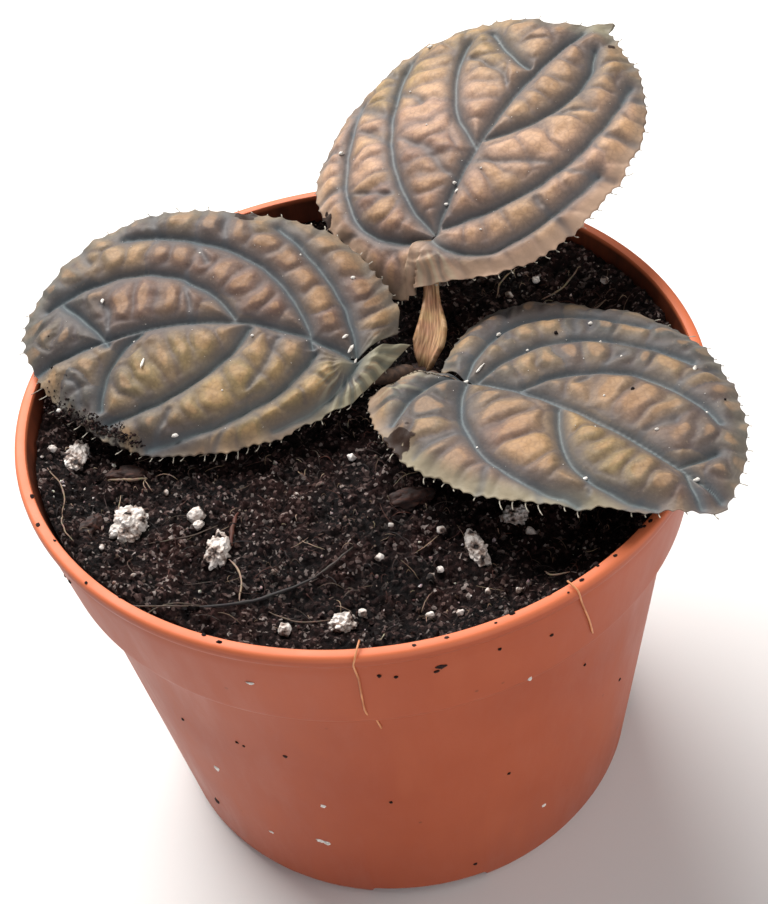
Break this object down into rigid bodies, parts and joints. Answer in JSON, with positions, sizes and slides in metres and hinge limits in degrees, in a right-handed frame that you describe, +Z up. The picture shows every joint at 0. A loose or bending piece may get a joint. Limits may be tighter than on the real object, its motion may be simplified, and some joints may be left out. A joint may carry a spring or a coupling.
{
  "type": "potted labisia",
  "caption": "Young labisia with broad, quilted, toothed leaves in a round tapered nursery pot filled with bark compost and perlite.",
  "frame": {"origin": "middle of the pot's underside, on the surface that the pot stands on", "axes": "+Z up along the pot's axis; -Y is the front, the side towards the viewer; the back leaf points to +X and +Y"},
  "size_m": [0.0909, 0.1002, 0.0883],
  "materials": {
    "pot_plastic": "injection-moulded terracotta-coloured polypropylene, slightly glossy",
    "compost": "damp dark peat and composted bark",
    "stem": "short brown plant stem",
    "leaf": "bronze and pink quilted leaf with dark blue-grey veins",
    "perlite": "dirty white expanded perlite",
    "bark": "reddish-brown bark chips"
  },
  "bodies": {
    "root": {"pot": "pot_plastic", "soil": "compost", "crown": "stem", "leaf_left": "leaf", "leaf_back": "leaf", "leaf_right": "leaf", "perlite_1": "perlite", "perlite_2": "perlite", "perlite_3": "perlite", "perlite_4": "perlite", "perlite_5": "perlite", "perlite_6": "perlite", "bark_chip_1": "bark", "bark_chip_2": "bark", "bark_chip_3": "bark"}
  },
  "joints": []
}
